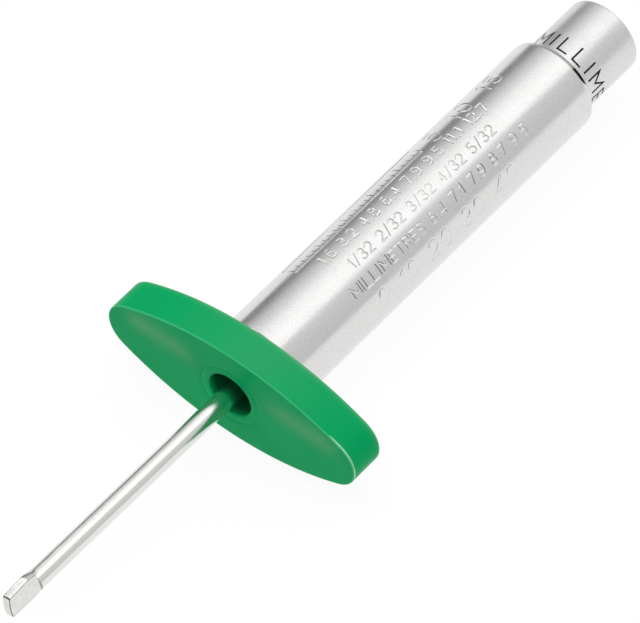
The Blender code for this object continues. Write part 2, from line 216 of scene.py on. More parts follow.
# Stamped rows of a conversion table: text, mark height, gap, bearing in degrees, start height.
SMALL_MARK = 1.5 * MM
SMALL_GAP = 0.42 * MM
LARGE_MARK = 2.7 * MM
STAMPED_ROWS = (
    ("5 10 15", LARGE_MARK, 0.9 * MM, -60.0, 42.0 * MM),
    ("1.6 3.2 4.8 6.4 7.9 9.5 11.1 12.7", SMALL_MARK, SMALL_GAP, -37.0, 18.5 * MM),
    ("1/32 2/32 3/32 4/32 5/32", SMALL_MARK, SMALL_GAP, -11.0, 20.5 * MM),
    ("MILLIMETRES 6.4 7.1 7.9 8.7 9.5", SMALL_MARK, SMALL_GAP, 14.0, 18.0 * MM),
    ("0 10 20 30 40", LARGE_MARK, 0.75 * MM, 44.0, 21.0 * MM),
)

# Stamped ruler. Its ticks are shares of its width.
RULER_BEARING = math.radians(-64.0)
RULER_START = 15.8 * MM
RULER_LENGTH = 24.0 * MM
RULER_WIDTH = 2.6 * MM
RULER_PITCH = 1.0 * MM
RULER_LONG_TICK = 0.6
RULER_SHORT_TICK = 0.35

# Print on the sleeve.
INK_PROUD = 0.012 * MM
INK_STEP = 0.2 * MM
MITRE_LIMIT = 0.35
LABEL_START = math.radians(-76.6)
LABEL_HEIGHT = 2.25 * MM
LABEL_GAP = 1.05 * MM
LABEL_STRETCH = 0.95
LABEL_BASE = 0.8 * MM
LABEL_HALF = 0.125 * MM
STROKE_MM = 40
RING_EVERY = 10
LONG_TICK_EVERY = 5
SCALE_SIDES = 3
SHORT_TICK = 2.0 * MM
LONG_TICK = 3.2 * MM
TICK_HALF = 0.08 * MM
RING_HALF = 0.12 * MM
RING_STEPS = 180
FIGURE_HEIGHT = 1.8 * MM
FIGURE_GAP = 0.35 * MM
FIGURE_SET = 0.9 * MM
FIGURE_RISE = 0.45 * MM
FIGURE_HALF = 0.1 * MM

# Bearings in degrees from MARKS_BEARING between which the print goes from sound to rubbed.
RUB_RANGE = (-50.0, -85.0)

# Colours.
ALUMINIUM = (0.72, 0.717, 0.712)
LIP_DARK_REFLECTION = (0.012, 0.012, 0.01)
BRIGHT_ZINC = (0.77, 0.775, 0.75)
SATIN_ZINC = (0.70, 0.71, 0.675)
SHADED_ZINC = (0.22, 0.22, 0.21)
DEEP_GREEN = (0.0, 0.38, 0.116)
PLAIN_GREEN = (0.0, 0.36, 0.11)
SHEEN_GREEN = (0.085, 0.40, 0.17)
EDGE_HIGHLIGHT_GREEN = (0.055, 0.5, 0.2)
BORE_SHADE_GREEN = (0.0, 0.075, 0.028)
GLINT_GREEN = (0.55, 0.88, 0.6)
INK = (0.004, 0.004, 0.004)
DARK_INK = (0.002, 0.002, 0.002)
LIGHT_INK = (0.012, 0.012, 0.012)
RUBBED_INK = (0.36, 0.36, 0.355)
NYLON_TONES = ((0.60, 0.58, 0.52), (0.52, 0.50, 0.44))
RUBBER_TONES = ((0.015, 0.015, 0.015), (0.03, 0.03, 0.03))
FASTENER_TONES = ((0.62, 0.62, 0.59), (0.54, 0.54, 0.52))

# How much of the rubbed colour the most rubbed print takes.
RUBBED_SHARE = 0.75

# The range that most of a noise fills, and the scale per metre of the metal's specks.
NOISE_RANGE = (0.3, 0.7)
SPECK_SCALE = 5000.0

# How far the hidden pieces' roughness goes either way.
INNER_VARIATION = 0.06

# Floor.
FLOOR_SIZE = 6.0
FLOOR_GREY = (0.09, 0.09, 0.09)
FLOOR_GLOW = 0.92

# World: brightness by bearing about the tool's axis in degrees, dimmed towards the blade.
SKY_STOPS = (
    (-180.0, 0.90), (-92.0, 0.85), (-84.0, 0.26), (-70.0, 0.32), (-58.0, 0.58),
    (-36.0, 0.90), (-17.0, 1.21), (5.0, 1.37), (24.0, 1.34), (33.0, 0.82),
    (50.0, 0.76), (86.0, 0.68), (96.0, 0.90), (180.0, 0.90),
)
SKY_DIM_RANGE = (-0.35, 0.3)
SKY_DIM_LEVELS = (0.25, 1.0)

# Softboxes: name, place, side, energy, and whether metal reflects it or the world in its place.
SOFTBOXES = (
    ("key_softbox", (-0.1, -0.19, 0.9), 0.9, 3.15, False),
    ("fill_softbox", (-0.75, -0.30, 0.60), 0.55, 1.6, True),
)

# Card that the blade's narrow side reflects, placed from the blade's middle.
CARD_PLACE = (-0.186, 0.095, 0.137)
CARD_WIDTH = 0.02
CARD_HEIGHT = 0.17
CARD_ENERGY = 0.022

# Camera.
VIEW_AZIMUTH = math.radians(38.734)
VIEW_ELEVATION = math.radians(51.840)
VIEW_ROLL = math.radians(0.416)
VIEW_DISTANCE = 766.9 * MM
AIM_RIGHT = 10.66 * MM
AIM_UP = 9.90 * MM
LENS_MM = 365.6
SENSOR_MM = 36.0
CLIP_START = 10.0 * MM


# -------- mesh helpers


def around(radius, bearing, height):
    """Points at a radius, bearing and height, which may be arrays, in the row frame."""
    radius, bearing, height = np.broadcast_arrays(radius, bearing, height)
    return np.stack(
        [radius * np.sin(bearing), DATUM_Y + height, AXIS_Z + radius * np.cos(bearing)], axis=-1
    )


def curve(cx, cy, rx, ry, start, end, steps=14):
    """Points along part of an ellipse, angles in degrees."""
    angles = np.radians(np.linspace(start, end, steps + 1))
    return [(cx + rx * math.cos(a), cy + ry * math.sin(a)) for a in angles]


def arc(center, radius, start, end, steps=8):
    """Points of an arc about center, angles in degrees."""
    return curve(*center, radius, radius, start, end, steps)


def new_piece(name, points, faces, sharp_degrees=SHARP_DEGREES):
    """A smooth-shaded mesh object from points and faces in the row frame."""
    mesh = bpy.data.meshes.new(name)
    mesh.from_pydata(np.asarray(points).tolist(), [], faces)
    mesh.validate()
    mesh.shade_smooth()
    mesh.set_sharp_from_angle(angle=math.radians(sharp_degrees))
    piece = bpy.data.objects.new(name, mesh)
    bpy.context.scene.collection.objects.link(piece)
    return piece


def ring_faces(rings, columns, closed):
    """Faces between rings. Closed joins the last ring to the first, or both ends are filled."""
    faces = []
    for row in range(rings if closed else rings - 1):
        here = row * columns
        above = (row + 1) % rings * columns
        for column in range(columns):
            beside = (column + 1) % columns
            faces.append((here + column, here + beside, above + beside, above + column))
    if not closed:
        faces.append(tuple(range(columns))[::-1])
        faces.append(tuple(range((rings - 1) * columns, rings * columns)))
    return faces


def ring_piece(name, rings, closed=True, sharp_degrees=SHARP_DEGREES):
    """A piece from rings that have the same count of points."""
    rings = np.asarray(rings)
    rows, columns = rings.shape[:2]
    return new_piece(name, rings.reshape(-1, 3), ring_faces(rows, columns, closed), sharp_degrees)


def wall(radius, start, end, count):
    """Profile points of a straight wall, evenly from one height to another."""
    return [(radius, height) for height in np.linspace(start, end, count)]


def turned(name, profile, closed=True):
    """Turn a profile of (radius, height) points, given up the outer side, about the axis."""
    bearings = np.linspace(0.0, math.tau, TURNED_STEPS, endpoint=False)
    rings = [around(radius, bearings, height) for radius, height in profile]
    return ring_piece(name, rings, closed)


def paint(piece, name, values):
    """Store one value for each point of a piece, for its material to read."""
    layer = piece.data.attributes.new(name, "FLOAT", "POINT")
    layer.data.foreach_set("value", np.asarray(values, dtype=np.float32).ravel())


def fade(values, start, end):
    """Values remapped smoothly, from 0 at start to 1 at end."""
    share = np.clip((values - start) / (end - start), 0.0, 1.0)
    return share * share * (3.0 - 2.0 * share)


def band(values, start, full, falling, end):
    """Values remapped smoothly: 0 at start, 1 from full to falling, and 0 at end."""
    return fade(values, start, full) * fade(values, end, falling)


def bell(values, middle, spread):
    """Values remapped to a bell curve, which is 1 at the middle."""
    return np.exp(-(((values - middle) / spread) ** 2))


def finish_piece(piece, material, body, slot, *nodes):
    """Give a piece its material and body, and hide the CAD nodes that it stands for. The slot is
    not used.
    """
    piece.data.materials.append(material)
    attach(piece, body)
    if nodes:
        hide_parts(*nodes)


# -------- marks: a single-line alphabet


# Each mark is a width and its strokes, on a box of height 1.
GLYPHS = {
    "0": (0.60, [curve(0.30, 0.50, 0.30, 0.50, 90, 450, 24)]),
    "1": (0.25, [[(0.0, 0.78), (0.2, 1.0), (0.2, 0.0)]]),
    "2": (0.58, [curve(0.29, 0.71, 0.29, 0.29, 165, -35) + [(0.0, 0.0), (0.58, 0.0)]]),
    "3": (0.56, [
        curve(0.28, 0.75, 0.25, 0.25, 150, -90) + curve(0.28, 0.25, 0.28, 0.25, 90, -155)[1:],
    ]),
    "4": (0.62, [[(0.46, 0.0), (0.46, 1.0), (0.0, 0.30), (0.62, 0.30)]]),
    "5": (0.56, [
        [(0.52, 1.0), (0.09, 1.0), (0.05, 0.56)] + curve(0.27, 0.31, 0.29, 0.31, 125, -150),
    ]),
    "6": (0.58, [
        curve(0.50, 0.30, 0.50, 0.70, 95, 180) + curve(0.29, 0.30, 0.29, 0.30, 180, 540, 20)[1:],
    ]),
    "7": (0.56, [[(0.0, 1.0), (0.56, 1.0), (0.18, 0.0)]]),
    "8": (0.58, [
        curve(0.29, 0.76, 0.23, 0.24, -90, 270, 18)
        + curve(0.29, 0.26, 0.29, 0.26, 90, -270, 18)[1:],
    ]),
    "9": (0.58, [
        curve(0.08, 0.70, 0.50, 0.70, -85, 0) + curve(0.29, 0.70, 0.29, 0.30, 0, 360, 20)[1:],
    ]),
    ".": (0.10, [[(0.05, 0.0), (0.05, 0.06)]]),
    "/": (0.42, [[(0.0, -0.05), (0.42, 1.05)]]),
    " ": (0.34, []),
    "M": (0.86, [[(0.0, 0.0), (0.0, 1.0), (0.43, 0.38), (0.86, 1.0), (0.86, 0.0)]]),
    "I": (0.08, [[(0.0, 0.0), (0.0, 1.0)]]),
    "L": (0.60, [[(0.0, 1.0), (0.0, 0.0), (0.66, 0.0)]]),
    "E": (0.60, [[(0.60, 1.0), (0.0, 1.0), (0.0, 0.0), (0.60, 0.0)], [(0.05, 0.52), (0.50, 0.52)]]),
    "T": (0.66, [[(0.0, 1.0), (0.66, 1.0)], [(0.33, 0.95), (0.33, 0.0)]]),
    "R": (0.60, [
        [(0.0, 0.0), (0.0, 1.0), (0.32, 1.0)]
        + curve(0.32, 0.76, 0.26, 0.24, 80, -90) + [(0.05, 0.52)],
        [(0.30, 0.47), (0.60, 0.0)],
    ]),
    "S": (0.58, [
        curve(0.29, 0.76, 0.26, 0.24, 25, 270) + curve(0.29, 0.26, 0.29, 0.26, 90, -155)[1:],
    ]),
}


def line_of_marks(text, size, gap, stretch=1.0):
    """Strokes of a line of marks in metres, from x = 0."""
    strokes = []
    x = 0.0
    for letter in text:
        width, shapes = GLYPHS[letter]
        for shape in shapes:
            strokes.append([(x + px * size * stretch, py * size) for px, py in shape])
        x += width * size * stretch + gap
    return strokes


def fine_steps(stroke, step):
    """The stroke with extra points, so that none are further apart than step."""
    points = [stroke[0]]
    for (x0, y0), (x1, y1) in zip(stroke, stroke[1:]):
        count = max(1, math.ceil(math.hypot(x1 - x0, y1 - y0) / step))
        for index in range(1, count + 1):
            share = index / count
            points.append((x0 + (x1 - x0) * share, y0 + (y1 - y0) * share))
    return points


# -------- body tube, with stamped marks


def along_tube(text, size, gap, bearing_degrees, start):
    """Strokes stamped along the tube, as (arc from MARKS_BEARING, height) points."""
    middle = math.radians(bearing_degrees) * TUBE_RADIUS
    strokes = line_of_marks(text, size, gap)
    return [[(middle + size / 2 - y, start + x) for x, y in stroke] for stroke in strokes]


def stamped_ruler():
    """Strokes of a ruler-like frame with ticks, stamped along the tube."""
    middle = RULER_BEARING * TUBE_RADIUS
    left = middle - RULER_WIDTH / 2
    right = middle + RULER_WIDTH / 2
    start, end = RULER_START, RULER_START + RULER_LENGTH
    strokes = [[(left, start), (left, end), (right, end), (right, start), (left, start)]]
    for index in range(1, round(RULER_LENGTH / RULER_PITCH)):
        height = start + index * RULER_PITCH
        tick = RULER_LONG_TICK if index % LONG_TICK_EVERY == 0 else RULER_SHORT_TICK
        strokes.append([(right, height), (right - tick * RULER_WIDTH, height)])
    return strokes


def stamped_strokes():
    """Every stamped stroke: the ruler and the rows of marks."""
    strokes = stamped_ruler()
    for row in STAMPED_ROWS:
        strokes += along_tube(*row)
    return strokes


def groove_depth(arcs, heights):
    """Depth of the stamped grooves over a grid, which has a row for each height."""
    distance = np.full((len(heights), len(arcs)), np.inf)
    for stroke in stamped_strokes():
        for (x0, y0), (x1, y1) in zip(stroke, stroke[1:]):
            across = (min(x0, x1) - GROOVE_REACH, max(x0, x1) + GROOVE_REACH)
            along = (min(y0, y1) - GROOVE_REACH, max(y0, y1) + GROOVE_REACH)
            columns = slice(*np.searchsorted(arcs, across))
            rows = slice(*np.searchsorted(heights, along))
            x, y = np.meshgrid(arcs[columns], heights[rows])
            dx = x1 - x0
            dy = y1 - y0
            share = np.clip(((x - x0) * dx + (y - y0) * dy) / (dx * dx + dy * dy), 0.0, 1.0)
            away = np.hypot(x - x0 - share * dx, y - y0 - share * dy)
            distance[rows, columns] = np.minimum(distance[rows, columns], away)
    near = np.clip((GROOVE_HALF - distance) / (GROOVE_HALF - GROOVE_FLOOR_HALF), 0.0, 1.0)
    across, along = np.meshgrid(arcs, heights)
    wave = np.sin(along / PRESS_WAVE_ALONG + across / PRESS_WAVE_ACROSS)
    return GROOVE_DEPTH * near * (1.0 - PRESS_CHANGE + PRESS_CHANGE * wave)


def lip_soil(bearings, slopes, mouth_count):
    """How dark the lip's round is painted, as a dark reflection and shade at the sleeve: its outer
    round, then its inner round.

    A grey painted reflection goes most of the way around. It ends in a black one that narrows to
    nothing.
    """
    bearings = (bearings + 180.0) % 360.0 - 180.0
    narrowing = np.clip((bearings - BLACK_REFLECTION_FULL) / (BLACK_REFLECTION_END - BLACK_REFLECTION_FULL), 0.0, None)
    start = DARK_SLOPE * (1.0 + BLACK_REFLECTION_RISE * narrowing**2)
    black_share = fade(bearings, BLACK_REFLECTION_START - BLACK_REFLECTION_START_FADE, BLACK_REFLECTION_START)
    strength = GREY_REFLECTION_STRENGTH + (1.0 - GREY_REFLECTION_STRENGTH) * black_share
    strength *= fade(bearings, GREY_REFLECTION_START, GREY_REFLECTION_FULL)
    outer = strength * fade(slopes[:, None], start - DARK_SLOPE_FADE, start + DARK_SLOPE_FADE)
    inner = np.broadcast_to(outer[-1:], (mouth_count, len(bearings)))
    return np.concatenate([outer, inner])


def build_tube(material):
    """The drawn tube: rolled mouth, plain bore and stamped grooves in its wall."""
    columns = math.ceil((STAMPED_BEARING_TO - STAMPED_BEARING_FROM) * TUBE_RADIUS / GROOVE_GRID)
    rows = math.ceil((STAMPED_TO - STAMPED_FROM) / GROOVE_GRID)
    fine = np.linspace(STAMPED_BEARING_FROM, STAMPED_BEARING_TO, columns)
    coarse = np.linspace(STAMPED_BEARING_TO, STAMPED_BEARING_FROM + math.tau, PLAIN_COLUMNS)[1:-1]
    offsets = np.concatenate([fine, coarse])
    bearings = MARKS_BEARING + offsets
    stamped = np.linspace(STAMPED_FROM, STAMPED_TO, rows)
    depth = np.zeros((rows, len(offsets)))
    depth[:, :columns] = groove_depth(fine * TUBE_RADIUS, stamped)

    outer_wall = [
        *arc((TUBE_RADIUS - SMALL_ROUND, TUBE_BOTTOM + SMALL_ROUND), SMALL_ROUND, -90, 0),
        *wall(TUBE_RADIUS, TUBE_BOTTOM + SMALL_ROUND, STAMPED_FROM, BELOW_RINGS)[1:-1],
        *zip(TUBE_RADIUS - depth, stamped),
        *wall(TUBE_RADIUS, STAMPED_TO, RIM - LIP_ROUND, ABOVE_RINGS)[1:-1],
    ]
    mouth_center = MOUTH_RADIUS + LIP_INNER_ROUND
    lip_center = TUBE_RADIUS - LIP_ROUND
    lip_end = math.degrees(math.acos((mouth_center - lip_center) / LIP_ROUND))
    lip = arc((lip_center, RIM - LIP_ROUND), LIP_ROUND, 0, lip_end, LIP_STEPS)
    mouth = arc((mouth_center, lip[-1][1] - LIP_INNER_ROUND), LIP_INNER_ROUND, 90, 180)[1:]
    inner_foot = arc((BORE_RADIUS + SMALL_ROUND, TUBE_BOTTOM + SMALL_ROUND), SMALL_ROUND, 180, 270)
    throat = [(MOUTH_RADIUS, RIM - LIP_DEPTH + LIP_INNER_ROUND), (BORE_RADIUS, RIM - LIP_DEPTH)]

    profile = outer_wall + lip + mouth + throat + inner_foot
    rings = [around(radius, bearings, height) for radius, height in profile]
    tube = ring_piece("tube_shell", rings, sharp_degrees=60.0)

    # The lip's round gets a painted dark reflection and shade: grey most of the way around, black
    # on one side.
    lip_band = lip_soil(np.degrees(offsets), np.linspace(0.0, lip_end, len(lip)), len(mouth))
    dark_reflection = np.zeros((len(rings), len(bearings)))
    dark_reflection[len(outer_wall):len(outer_wall) + len(lip_band)] = lip_band
    paint(tube, "dark_reflection", dark_reflection)
    finish_piece(tube, material, "gauge_body", "tube_aluminium", "body_tube")


# -------- foot


def oval():
    """Points and outward normals of the foot's outline, clockwise seen from the datum face.

    Two long side arcs run smoothly into two small end arcs.
    """
    end_center = FOOT_HALF_LENGTH - FOOT_END_RADIUS
    spare = FOOT_HALF_WIDTH - FOOT_END_RADIUS
    side_radius = (end_center**2 + FOOT_HALF_WIDTH**2 - FOOT_END_RADIUS**2) / (2 * spare)
    side_center = side_radius - FOOT_HALF_WIDTH
    join = math.atan2(side_center, end_center)
    spans = [
        ((end_center, 0.0), FOOT_END_RADIUS, -join, join, OVAL_END_STEPS),
        ((0.0, -side_center), side_radius, join, math.pi - join, OVAL_SIDE_STEPS),
        ((-end_center, 0.0), FOOT_END_RADIUS, math.pi - join, math.pi + join, OVAL_END_STEPS),
        ((0.0, side_center), side_radius, math.pi + join, math.tau - join, OVAL_SIDE_STEPS),
    ]
    points, normals = [], []
    for (cx, cz), radius, start, end, steps in spans:
        angles = np.linspace(start, end, steps, endpoint=False)
        normal = np.stack([np.cos(angles), np.sin(angles)], axis=-1)
        points.append(normal * radius + (cx, cz))
        normals.append(normal)
    return np.concatenate(points)[::-1], np.concatenate(normals)[::-1]


def foot_rings():
    """Rings of the foot's surface, from its guide down the hole and around the outside."""
    outline, normals = oval()
    directions = outline / np.linalg.norm(outline, axis=1)[:, None]

    def ring(flat_points, height):
        """A ring of (x, z) points at a height."""
        x, z = flat_points.T
        return np.stack([x, np.full(len(x), DATUM_Y + height), AXIS_Z + z], axis=-1)

    def circles(profile):
        """Round rings along a profile, with their points towards the outline's."""
        return [ring(directions * radius, height) for radius, height in profile]

    def flat_face(start, end, height, count):
        """Rings over a flat face between two rings of points, without the first."""
        shares = np.linspace(0.0, 1.0, count)[1:]
        return [ring(start + (end - start) * share, height) for share in shares]

    def rounded_edge(profile):
        """Rings along the outline at each inset and height of a profile."""
        return [ring(outline - normals * inset, height) for inset, height in profile]

    cone_top = SPIGOT_TOP - GUIDE_LENGTH
    hole_top = cone_top - (FOOT_HOLE_RADIUS - GUIDE_RADIUS)
    hole_corner = (FOOT_HOLE_RADIUS + FOOT_DATUM_ROUND, FOOT_DATUM_ROUND)
    gate_shares = np.linspace(-1.0, 1.0, GATE_RINGS)
    gate_radii = GATE_RING_RADIUS + gate_shares * GATE_RING_HALF
    rings = circles([
        *wall(GUIDE_RADIUS, SPIGOT_TOP, cone_top, GUIDE_RINGS),
        *wall(FOOT_HOLE_RADIUS, hole_top, FOOT_DATUM_ROUND, HOLE_RINGS),
        *arc(hole_corner, FOOT_DATUM_ROUND, 180, 270)[1:],
        *zip(gate_radii, GATE_RING_DEPTH * (1.0 - gate_shares**2) ** 2),
    ])

    gate_edge = directions * (GATE_RING_RADIUS + GATE_RING_HALF)
    rings += flat_face(gate_edge, outline - normals * FOOT_DATUM_ROUND, 0.0, DATUM_FACE_RINGS)
    datum_corner = (FOOT_DATUM_ROUND, FOOT_DATUM_ROUND)
    rings += rounded_edge(arc(datum_corner, FOOT_DATUM_ROUND, 270, 180)[1:])
    side_height = FOOT_TOP - FOOT_TOP_ROUND - FOOT_DATUM_ROUND
    side = FOOT_DATUM_ROUND + side_height * np.linspace(0.0, 1.0, SIDE_RINGS)[1:] ** 2
    rings += [ring(outline, height) for height in side]
    top_corner = (FOOT_TOP_ROUND, FOOT_TOP - FOOT_TOP_ROUND)
    rings += rounded_edge(arc(top_corner, FOOT_TOP_ROUND, 180, 90, FOOT_TOP_ROUND_STEPS)[1:])

    top_edge = outline - normals * FOOT_TOP_ROUND
    rings += flat_face(top_edge, directions * SPIGOT_RADIUS, FOOT_TOP, TOP_FACE_RINGS)
    rings += circles(wall(SPIGOT_RADIUS, FOOT_TOP, SPIGOT_TOP - SMALL_ROUND, SPIGOT_RINGS)[1:])
    spigot_corner = (SPIGOT_RADIUS - SMALL_ROUND, SPIGOT_TOP - SMALL_ROUND)
    rings += circles(arc(spigot_corner, SMALL_ROUND, 0, 90)[1:])
    return rings


def build_foot(material):
    """The moulded foot: oval plate, spigot, stepped hole and gate ring, with painted highlights,
    sheen and shade.
    """
    rings = foot_rings()
    foot = ring_piece("moulded_foot", rings, sharp_degrees=40.0)
    x, height, z = (np.concatenate(rings) - (0.0, DATUM_Y, AXIS_Z)).T
    radius = np.hypot(x, z)
    # Painted highlight along the round of the datum edge.
    paint(foot, "edge", band(height, *EDGE_HIGHLIGHT_HEIGHT_BAND) * fade(radius, *EDGE_HIGHLIGHT_RADIUS_RANGE))
    # Painted highlight: a bright glint on the datum edge's round at one end.
    painted_glint = band(height, *GLINT_HEIGHT_BAND) * fade(x, *GLINT_X_RANGE) * fade(z, *GLINT_Z_RANGE)
    paint(foot, "painted_glint", painted_glint)
    # Painted shade inside the hole.
    paint(foot, "bore", fade(radius, *BORE_SHADE_RADIUS_RANGE) * fade(height, *BORE_SHADE_HEIGHT_RANGE))
    # Painted sheen: lighter patches on the underside, along the middle of the side wall and at the
    # top face.
    painted_sheen = bell(z, SHEEN_Z, SHEEN_Z_SPREAD) * fade(height, *SHEEN_HEIGHT_RANGE)
    painted_sheen *= band(np.abs(x), *SHEEN_X_BAND)
    wall_sheen = WALL_SHEEN * bell(x, WALL_SHEEN_X, WALL_SHEEN_X_SPREAD)
    wall_sheen *= fade(height, *WALL_SHEEN_HEIGHT_RANGE)
    top_sheen = TOP_SHEEN * band(height, *TOP_SHEEN_HEIGHT_BAND)
    paint(foot, "painted_sheen", painted_sheen + wall_sheen + top_sheen)
    finish_piece(foot, material, "gauge_body", "foot_plastic", "foot_plate")


# -------- sleeve, cap and print


def build_sleeve(material):
    """The sleeve, plain inside, with its outer end rounded."""
    bore = SLEEVE_RADIUS - SLEEVE_WALL
    end_center = (SLEEVE_RADIUS - SLEEVE_END_ROUND, SLEEVE_TOP - SLEEVE_END_ROUND)
    foot_center = (SLEEVE_RADIUS - SMALL_ROUND, SLEEVE_BOTTOM + SMALL_ROUND)
    bore_round = SMALL_ROUND / 2
    profile = [
        *arc(foot_center, SMALL_ROUND, -90, 0),
        *wall(SLEEVE_RADIUS, foot_center[1], end_center[1], SLEEVE_WALL_RINGS)[1:-1],
        *arc(end_center, SLEEVE_END_ROUND, 0, 90, SLEEVE_END_STEPS),
        *arc((bore + bore_round, SLEEVE_TOP - bore_round), bore_round, 90, 180),
        (bore, SLEEVE_BOTTOM),
    ]
    sleeve = turned("sleeve_shell", profile)
    finish_piece(sleeve, material, "slider", "sleeve_aluminium", "scale_sleeve")


def build_end_cap(material):
    """The cap in the sleeve's end: shallow dish inside a raised rim."""
    inner = CAP_RADIUS - CAP_WALL
    corner = (CAP_RADIUS - SMALL_ROUND, SLEEVE_TOP - SMALL_ROUND)
    profile = [
        (CAP_POLE_RADIUS, SLEEVE_TOP - CAP_FLOOR),
        (inner, SLEEVE_TOP - CAP_FLOOR),
        (inner, CAP_BOTTOM),
        (CAP_RADIUS, CAP_BOTTOM),
        *arc(corner, SMALL_ROUND, 0, 90),
        (CAP_RADIUS - CAP_RIM, SLEEVE_TOP),
        (CAP_RADIUS - CAP_RIM - SMALL_ROUND, SLEEVE_TOP - CAP_DISH_DEPTH),
        (CAP_POLE_RADIUS, SLEEVE_TOP - CAP_DISH_DEPTH),
    ]
    cap = turned("end_cap_disc", profile, closed=False)
    finish_piece(cap, material, "slider", "sleeve_aluminium", "sleeve_end_cap")


def ribbon(stroke, half_width):
    """Left and right edge points of a stroke of even width, with mitred corners."""
    line = np.array(stroke)
    steps = np.diff(line, axis=0)
    steps /= np.linalg.norm(steps, axis=1)[:, None]
    sides = np.stack([-steps[:, 1], steps[:, 0]], axis=-1)
    before = np.vstack([sides[:1], sides])
    after = np.vstack([sides, sides[-1:]])
    mitre = before + after
    mitre /= np.linalg.norm(mitre, axis=1)[:, None]
    reach = half_width / np.clip((mitre * before).sum(axis=1), MITRE_LIMIT, 1.0)
    return line + mitre * reach[:, None], line - mitre * reach[:, None]


def printed_lines():
    """Every printed line, as (arc from MARKS_BEARING, height) points and a half width."""
    lines = []
    start = LABEL_START * SLEEVE_RADIUS
    for stroke in line_of_marks("MILLIMETRES", LABEL_HEIGHT, LABEL_GAP, LABEL_STRETCH):
        lines.append(([(start + x, RIM + LABEL_BASE + y) for x, y in stroke], LABEL_HALF))

    side_arc = math.tau * SLEEVE_RADIUS / SCALE_SIDES
    for side in range(SCALE_SIDES):
        middle = side * side_arc
        for value in range(STROKE_MM):
            height = RIM - (STROKE_MM - value) * MM
            if value % RING_EVERY == 0:
                for stroke in line_of_marks(str(value), FIGURE_HEIGHT, FIGURE_GAP):
                    place = [(middle + FIGURE_SET + x, height + FIGURE_RISE + y) for x, y in stroke]
                    lines.append((place, FIGURE_HALF))
            else:
                reach = LONG_TICK if value % LONG_TICK_EVERY == 0 else SHORT_TICK
                lines.append(([(middle - reach, height), (middle, height)], TICK_HALF))
    return lines


def printed_rings():
    """Upper and lower edges of the printed rings at the tens."""
    arcs = np.linspace(-math.pi, math.pi, RING_STEPS, endpoint=False) * SLEEVE_RADIUS
    rings = []
    for value in range(0, STROKE_MM + 1, RING_EVERY):
        height = np.full(len(arcs), RIM - (STROKE_MM - value) * MM)
        upper = np.stack([arcs, height + RING_HALF], axis=-1)
        lower = np.stack([arcs, height - RING_HALF], axis=-1)
        rings.append((upper, lower))
    return rings


def ink_strip(left, right, closed, base):
    """Points and faces of an inked strip between two edges. Base is its first point's index."""
    section = ((left, INK_PROUD), (right, INK_PROUD), (right, -INK_PROUD), (left, -INK_PROUD))
    corners = [
        around(SLEEVE_RADIUS + proud, MARKS_BEARING + edge[:, 0] / SLEEVE_RADIUS, edge[:, 1])
        for edge, proud in section
    ]
    points = np.stack(corners, axis=1).reshape(-1, 3)
    faces = ring_faces(len(left), len(section), closed)
    return points, [tuple(base + index for index in face) for face in faces]


def build_print(material):
    """The printed unit word and graduations, thin inked strips wrapped on the sleeve."""
    strips = []
    for stroke, half_width in printed_lines():
        strips.append((*ribbon(fine_steps(stroke, INK_STEP), half_width), False))
    for upper, lower in printed_rings():
        strips.append((upper, lower, True))
    points, faces, rubbed = [], [], []
    for left, right, closed in strips:
        more_points, more_faces = ink_strip(left, right, closed, len(points))
        points.extend(more_points)
        faces.extend(more_faces)
        bearing = np.degrees(left[:, 0] / SLEEVE_RADIUS)
        rubbed.append(np.repeat(fade(bearing, *RUB_RANGE), len(more_points) // len(left)))
    ink = new_piece("sleeve_print", points, faces)
    paint(ink, "rubbed", np.concatenate(rubbed))
    finish_piece(ink, material, "slider", "sleeve_aluminium")


# -------- probe rod


def blade_side(height, cosine, taper):
    """Distance from the axis to a narrow side at a height.

    The cosine runs from 0 mid-side to 1 at a face, and the taper narrows the side towards the tip.
    """
    shoulder = ROD_TIP + BLADE_SIDE_LENGTH
    flare = math.sin(math.pi / 2 * min(max((shoulder - height) / BLADE_FLARE, 0.0), 1.0))
    narrowed = (height - ROD_TIP - BLADE_TAPER_MIDDLE) * taper
    full = BLADE_HALF_WIDTH + narrowed - BLADE_SIDE_BULGE * cosine**2
    round_side = np.sqrt(ROD_RADIUS**2 - (BLADE_HALF_THICKNESS * cosine) ** 2)
    return round_side + (full - round_side) * flare


def blade_thickness(height):
    """Half thickness at a height. The faces' curved run-out ends at the shoulder."""
    shoulder = ROD_TIP + BLADE_LENGTH
    share = min(max(1.0 - (shoulder - height) / BLADE_RUN_OUT, 0.0), 1.0)
    deep = ROD_RADIUS - BLADE_HALF_THICKNESS
    return BLADE_HALF_THICKNESS + deep * (1.0 - math.sqrt(1.0 - share * share))


def blade_ring(height, inset=0.0):
    """Section at a height, as (across the faces, along the faces) points.

    A quarter of them lies on each face and each narrow side. Only the second narrow side tapers.
    """
    ramp = np.linspace(-1.0, 1.0, BLADE_COLUMNS // 4, endpoint=False)
    thickness = blade_thickness(height)
    corners = [blade_side(height, 1.0, taper) for taper in (0.0, BLADE_TAPER)]
    halves = []
    for taper, here, there in ((0.0, *corners), (BLADE_TAPER, *corners[::-1])):
        side = blade_side(height, np.abs(ramp), taper)
        side_points = np.stack([-ramp * BLADE_HALF_THICKNESS, side], axis=-1)
        along = here - (here + there) * (ramp + 1.0) / 2
        round_face = np.sqrt(np.maximum(ROD_RADIUS**2 - along**2, BLADE_HALF_THICKNESS**2))
        face_points = np.stack([-np.minimum(thickness, round_face), along], axis=-1)
        halves.append(np.concatenate([side_points, face_points]))
    ring = np.concatenate([halves[0], -halves[1]])
    return ring * (1.0 - inset / BLADE_HALF_THICKNESS, 1.0 - inset / BLADE_HALF_WIDTH)


